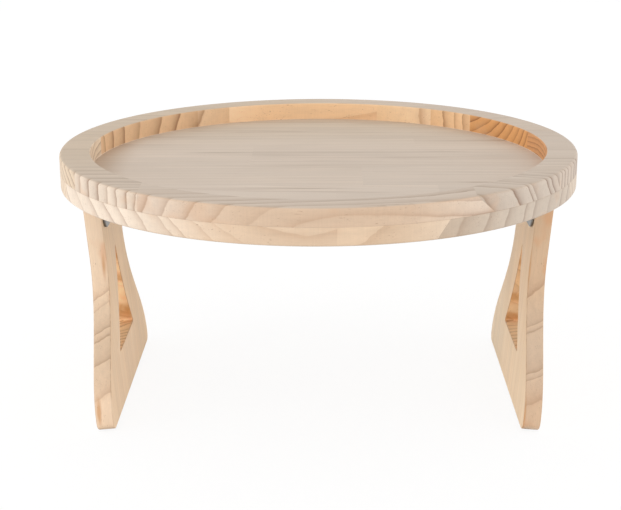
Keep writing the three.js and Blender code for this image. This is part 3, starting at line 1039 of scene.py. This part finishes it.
def leg(name, side, material):
    """The leg on that side, 1 for right and -1 for left, leaning in at rest."""
    bm = bmesh.new()
    layers = eased(LEG_THICKNESS, EDGE_EASE, steps=5)
    plate(bm, leg_outline(), [cutout_outline()], layers, layers,
          lambda depth, y, z: (LEG_FACE + depth, y, z))
    place = pin_axis(side) @ Matrix.Rotation(LEAN, 4, "Y")
    bmesh.ops.transform(bm, matrix=place, verts=bm.verts)
    return new_object(name, bm, material)


left_leg = leg("left_leg_plate", -1, left_pine)
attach(left_leg, "left_leg_body")
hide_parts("left_leg")
right_leg = leg("right_leg_plate", 1, right_pine)
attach(right_leg, "right_leg_body")
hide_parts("right_leg")


def leaf_outline(owns_ends, open_face):
    """A leaf's outline from above, and the spans of its own knuckles along Y."""
    half = HINGE_LENGTH / 2
    knuckle = HINGE_LENGTH / KNUCKLE_COUNT
    notch = math.sqrt((KNUCKLE_RADIUS + KNUCKLE_GAP) ** 2 - open_face ** 2)
    outline = arc(LEAF_REACH - LEAF_CORNER, LEAF_CORNER - half, LEAF_CORNER, -90, 0, steps=14)
    outline += arc(LEAF_REACH - LEAF_CORNER, half - LEAF_CORNER, LEAF_CORNER, 0, 90, steps=14)
    spans = []
    for i in reversed(range(KNUCKLE_COUNT)):
        own = (i in (0, KNUCKLE_COUNT - 1)) == owns_ends
        room = KNUCKLE_GAP if own else -KNUCKLE_GAP
        low = -half + i * knuckle + (room if i > 0 else 0)
        high = -half + (i + 1) * knuckle - (room if i < KNUCKLE_COUNT - 1 else 0)
        outline += [(0 if own else notch, high), (0 if own else notch, low)]
        if own:
            spans.append((low, high))
    return without_repeats(outline), spans


def leaf(owns_ends):
    """A hinge leaf that reaches along X from the pin, its seated face up, its sheet curled round the pin.

    owns_ends is true for the leaf with the outer knuckles and false for the one with the middle knuckle.
    """
    open_face = KNUCKLE_RADIUS - LEAF_THICKNESS
    outline, spans = leaf_outline(owns_ends, open_face)
    holes = [without_repeats(arc(SCREW_REACH, y, SCREW_SHANK_RADIUS + SCREW_GAP, 0, 360, steps=48))
             for y in SCREW_ROWS]
    sink = SCREW_HEAD_RADIUS - SCREW_SHANK_RADIUS
    bm = bmesh.new()
    plate(bm, outline, holes, eased(LEAF_THICKNESS, LEAF_EASE, steps=3),
          [(sink, 0), (sink, SCREW_HEAD_RIM), (0, LEAF_THICKNESS)],
          lambda depth, x, y: (x, y, open_face + depth))

    # The curl stops short of the leaf's open face. Its root lies just inside the leaf.
    curl = arc(0, 0, KNUCKLE_RADIUS, 90, CURL_END, steps=48)
    curl += arc(0, 0, PIN_RADIUS + PIN_GAP, CURL_END, 90, steps=36)
    curl += [(CURL_OVERLAP, open_face + CURL_ROOT), (CURL_OVERLAP, KNUCKLE_RADIUS - CURL_ROOT)]
    for low, high in spans:
        layers = eased(high - low, LEAF_EASE, steps=3)
        plate(bm, curl, [], layers, layers, lambda depth, x, z, low=low: (x, low + depth, z))
    return bm


def pin():
    """A pin along Y with a domed peened head on each end."""
    half = HINGE_LENGTH / 2 + PIN_GAP
    upper = [(PIN_RADIUS, half)]
    for angle in map(math.radians, DOME_ANGLES):
        upper.append((PIN_HEAD_RADIUS * math.cos(angle), half + PIN_HEAD_THICKNESS * math.sin(angle)))
    upper.append((0, half + PIN_HEAD_THICKNESS))
    bm = bmesh.new()
    turned(bm, [(radius, -height) for radius, height in reversed(upper)] + upper, SMALL_SEGMENTS)
    bmesh.ops.rotate(bm, matrix=Matrix.Rotation(math.pi / 2, 3, "X"), verts=bm.verts)
    return bm


def cross_outline():
    """A screw's cross recess, a fillet in each inner corner."""
    arm = CROSS_LENGTH / 2
    width = CROSS_WIDTH / 2
    cross = []
    quarter = [(arm, -width), (arm, width), (width + CROSS_FILLET, width), (width, width + CROSS_FILLET)]
    for _ in range(4):
        cross += quarter
        quarter = [(-y, x) for x, y in quarter]
    return cross


def screw():
    """A countersunk wood screw that points up from its leaf, with a cross recess and a thread."""
    head = KNUCKLE_RADIUS - LEAF_THICKNESS
    neck = head + LEAF_THICKNESS
    end = head + SCREW_LENGTH
    profile = [(SCREW_HEAD_RADIUS - HEAD_EASE_WIDTH, head), (SCREW_HEAD_RADIUS, head + HEAD_EASE_DEPTH),
               (SCREW_HEAD_RADIUS, head + SCREW_HEAD_RIM), (SCREW_SHANK_RADIUS, neck)]
    height = neck + THREAD_START
    while height + THREAD_PITCH < end:
        crest = SCREW_SHANK_RADIUS * min(1, (end - height) / SCREW_TIP)
        profile += [(crest * THREAD_ROOT_SHARE, height), (crest, height + THREAD_PITCH * THREAD_FLANK_SHARE),
                    (crest, height + THREAD_PITCH * THREAD_CREST_SHARE)]
        height += THREAD_PITCH
    bm = bmesh.new()
    rings = turned(bm, profile + [(0, end)], SMALL_SEGMENTS, closed=False)

    # The recess narrows as it goes in
    mouth = [bm.verts.new((x, y, head)) for x, y in cross_outline()]
    floor = [bm.verts.new((x * CROSS_FLOOR_SHARE, y * CROSS_FLOOR_SHARE, head + CROSS_DEPTH))
             for x, y in cross_outline()]
    joined(bm, mouth, floor)
    fill(bm, [rings[0], mouth])
    fill(bm, [floor])
    return bm


def fit(node, body, bm, place, material):
    """Puts a hinge's piece in its place instead of the CAD node of that name."""
    bmesh.ops.transform(bm, matrix=place, verts=bm.verts)
    thing = new_object(node + "_made", bm, material)
    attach(thing, body)
    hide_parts(node)


for side_name, side in (("left", -1), ("right", 1)):
    for end_name, hinge_y in (("front", -side * HINGE_OFFSET), ("back", side * HINGE_OFFSET)):
        hinge = f"{side_name}_{end_name}_hinge"
        along_pin = Matrix.Translation((0, hinge_y, 0))
        on_tray = pin_axis(side) @ along_pin @ Matrix.Rotation(math.pi, 4, "Z")
        on_leg = pin_axis(side) @ Matrix.Rotation(LEAN, 4, "Y") @ along_pin
        on_leg = on_leg @ Matrix.Rotation(math.pi / 2, 4, "Y")
        fit(f"{hinge}_pin", "tray", pin(), on_tray, hinge_steel)
        for part, body, place in (("tray", "tray", on_tray), ("leg", f"{side_name}_leg_body", on_leg)):
            fit(f"{hinge}_{part}_leaf", body, leaf(part == "tray"), place, hinge_steel)
            for i, y in enumerate(SCREW_ROWS):
                spot = place @ Matrix.Translation((SCREW_REACH, y, 0))
                fit(f"{hinge}_{part}_screw_{i + 1}", body, screw(), spot, screw_steel)

# The studio, in metres: a floor and a world that are white to the camera, and duller as light on the object
FLOOR_SIZE = 16
FLOOR_PLACE = (0, 2, -0.0001)
FLOOR_LIT = srgb(243, 243, 243)
FLOOR_SEEN = srgb(100, 100, 100)
FLOOR_GLOW = 0.893
FLOOR_ROUGHNESS = 0.9
WHITE = (1, 1, 1, 1)
WORLD_LIGHT = 0.89
WORLD_SEEN = 1
SOFTBOX_SIZE = 0.9
SOFTBOX_TARGET = (0, 0, 0.08)
SOFTBOXES = [("key_softbox", (-1.9, -1, 0.40), 9), ("fill_softbox", (2, -0.5, 0.25), 7)]

# Floor, which shows the object's shadow
floor = Surface("studio_floor")
seen = floor.seen()
floor.set("Base Color", floor.blend(seen, FLOOR_LIT, FLOOR_SEEN))
floor.set("Roughness", FLOOR_ROUGHNESS)
floor.set("Specular IOR Level", 0)
floor.set("Emission Color", WHITE)
floor.set("Emission Strength", floor.mul(seen, FLOOR_GLOW))
bpy.ops.mesh.primitive_plane_add(size=FLOOR_SIZE, location=FLOOR_PLACE)
ground = bpy.context.object
ground.name = "studio_floor"
ground.data.materials.append(floor.material)

# World
world = bpy.data.worlds.new("studio")
world.use_nodes = True
bpy.context.scene.world = world
sky = Graph(world.node_tree)
background = world.node_tree.nodes["Background"]
sky.put(background.inputs["Color"], WHITE)
sky.put(background.inputs["Strength"], sky.mix(sky.seen(), WORLD_LIGHT, WORLD_SEEN))

# Lamps
for name, place, power in SOFTBOXES:
    lamp = bpy.data.lights.new(name, "AREA")
    lamp.shape = "DISK"
    lamp.size = SOFTBOX_SIZE
    lamp.energy = power
    softbox = bpy.data.objects.new(name, lamp)
    softbox.location = place
    softbox.rotation_euler = (Vector(SOFTBOX_TARGET) - Vector(place)).to_track_quat("-Z", "Y").to_euler()
    bpy.context.collection.objects.link(softbox)

# Camera, fitted to the photograph's outline: its focal length in the photograph's pixels, its place and turn
PHOTO_WIDTH = 621
FOCAL_PIXELS = 1403
SENSOR_WIDTH = 36
CAMERA_PLACE = Vector((4.052, -808.7, 320.81))
CAMERA_FORWARD = Vector((-0.01044, 0.95893, -0.28346))
CAMERA_RIGHT = Vector((0.99995, 0.00981, -0.00366))

camera_data = bpy.data.cameras.new("camera")
camera_data.sensor_fit = "HORIZONTAL"
camera_data.sensor_width = SENSOR_WIDTH
camera_data.lens = FOCAL_PIXELS * SENSOR_WIDTH / PHOTO_WIDTH
camera = bpy.data.objects.new("camera", camera_data)
bpy.context.collection.objects.link(camera)
forward = CAMERA_FORWARD.normalized()
right = (CAMERA_RIGHT - forward * CAMERA_RIGHT.dot(forward)).normalized()
up = right.cross(forward)
turn = Matrix((right, up, -forward)).transposed().to_4x4()
camera.matrix_world = Matrix.Translation(CAMERA_PLACE * MM) @ turn
bpy.context.scene.camera = camera
bpy.context.scene.view_settings.view_transform = "Standard"
